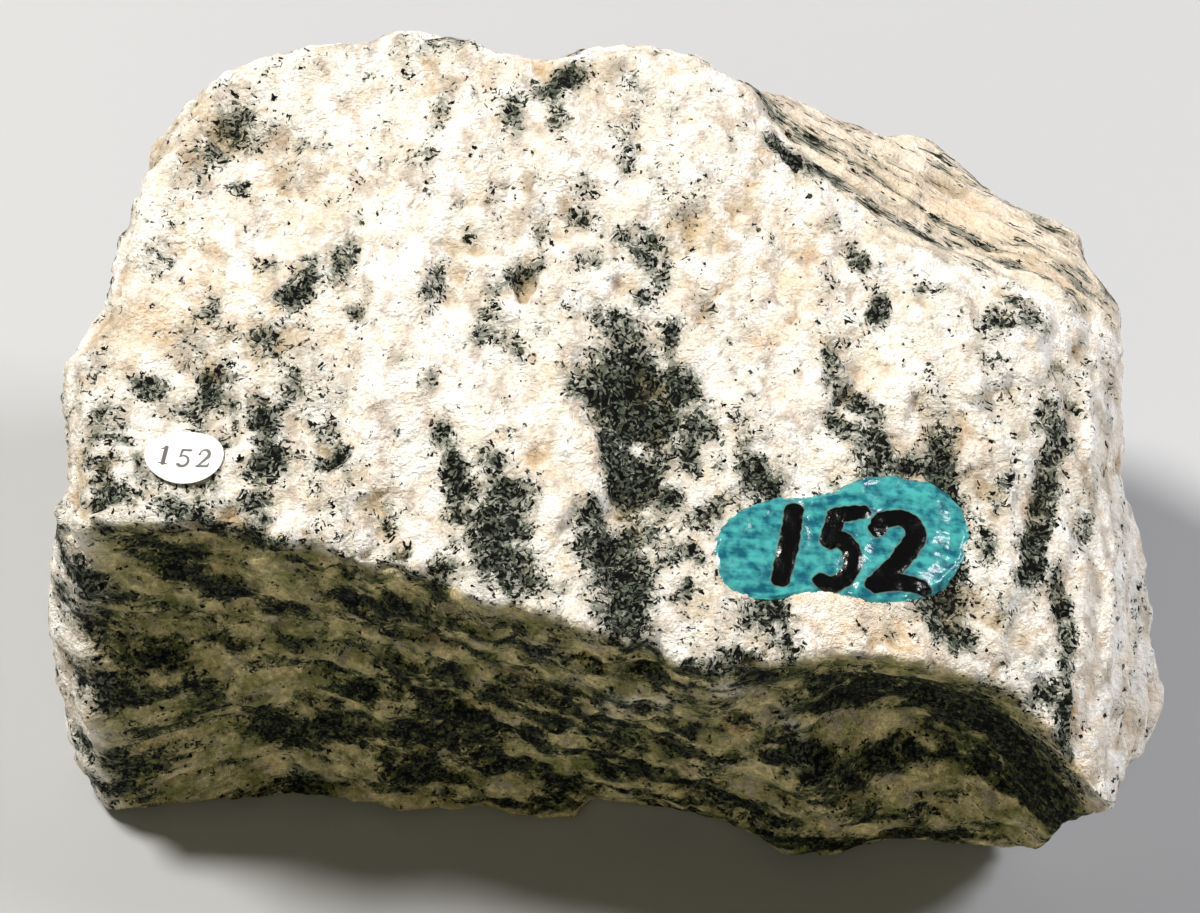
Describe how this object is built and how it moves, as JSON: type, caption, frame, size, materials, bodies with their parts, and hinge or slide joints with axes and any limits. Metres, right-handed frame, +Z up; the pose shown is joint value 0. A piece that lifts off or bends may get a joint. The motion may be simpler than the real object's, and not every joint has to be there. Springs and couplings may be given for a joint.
{
  "type": "diorite hand specimen",
  "caption": "Broken lump of streaky black and white diorite with a sloping pale top face, a steep dark front face, a small oval paper label and a painted number patch.",
  "frame": {"origin": "middle of the bounding box, at the level of the flat spot that the stone rests on", "axes": "+X along the stone's length, to the right for someone who faces the dark front face; +Y towards the back; +Z up"},
  "size_m": [0.1182, 0.0891, 0.0616],
  "materials": {
    "diorite": "rough broken surface, cream white feldspar with black streaks and rusty stains",
    "label_paper": "matt white sticker paper with small printed digits",
    "turquoise_paint": "glossy brushed paint with a black brushed number"
  },
  "bodies": {
    "root": {"stone": "diorite", "paper_label": "label_paper", "paint_patch": "turquoise_paint"}
  },
  "joints": []
}
